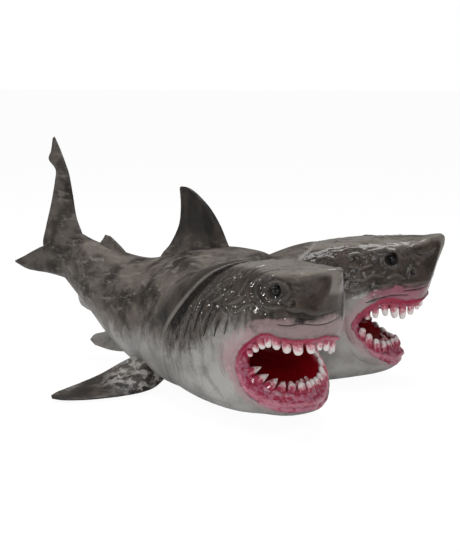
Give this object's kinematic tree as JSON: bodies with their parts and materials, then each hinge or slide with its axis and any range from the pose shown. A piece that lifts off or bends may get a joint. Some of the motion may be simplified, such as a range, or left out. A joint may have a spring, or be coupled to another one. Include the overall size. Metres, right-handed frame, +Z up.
{
  "type": "shark figurine",
  "caption": "Two-headed great white shark figurine with gaping toothed mouths, tall dorsal fin, spread pectoral fins and raised tail.",
  "frame": {"origin": "centre of the bounding box footprint, on the flat that the belly rests on", "axes": "+X towards the heads along the body, +Y to the animal's left, +Z up"},
  "size_m": [0.2488, 0.1564, 0.1252],
  "materials": {
    "painted_grey_body": "satin painted soft PVC, dark grey-brown back fading to pale grey belly",
    "painted_right_head": "glossy painted soft PVC with pink lips, red mouth and off-white teeth",
    "painted_left_head": "glossy painted soft PVC with pink lips, red mouth and off-white teeth"
  },
  "bodies": {
    "root": {"body": "painted_grey_body", "right_head": "painted_right_head", "left_head": "painted_left_head"}
  },
  "joints": []
}
